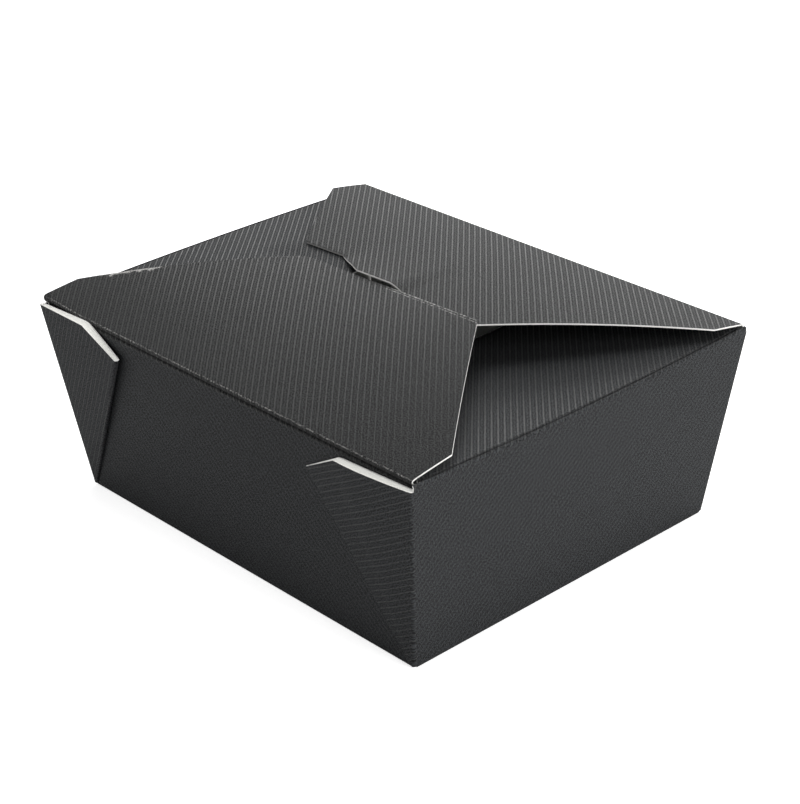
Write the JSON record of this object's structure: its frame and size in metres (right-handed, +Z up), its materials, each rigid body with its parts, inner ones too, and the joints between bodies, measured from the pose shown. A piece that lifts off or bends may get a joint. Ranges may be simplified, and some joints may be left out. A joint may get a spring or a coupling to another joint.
{
  "type": "takeaway box",
  "caption": "Folded board food carton with tapered walls, corner webs folded out over the long walls, and an interlocking lid of hinged flaps.",
  "frame": {"origin": "centre of the base, on the surface that the box stands on", "axes": "+X along the long walls, +Y from the front wall to the back wall, +Z up"},
  "size_m": [0.168, 0.1432, 0.0736],
  "materials": {
    "printed_board": "matt printed board",
    "flap_board": "matt printed board"
  },
  "bodies": {
    "box": {"box_body": "printed_board"},
    "front_flap": {"front_flap": "flap_board"},
    "back_flap": {"back_flap": "flap_board"}
  },
  "joints": [
    {"name": "front_flap_hinge", "type": "hinge", "parent": "box", "child": "front_flap", "pos_m": [0, -0.06595, 0.06405], "axis": [1, 0, 0], "range_deg": [0, 150]},
    {"name": "back_flap_hinge", "type": "hinge", "parent": "box", "child": "back_flap", "pos_m": [0, 0.06595, 0.06405], "axis": [-1, 0, 0], "range_deg": [0, 150]}
  ],
  "couplings": [
    {"joint": "back_flap_hinge", "follows": "front_flap_hinge", "ratio": 1}
  ]
}
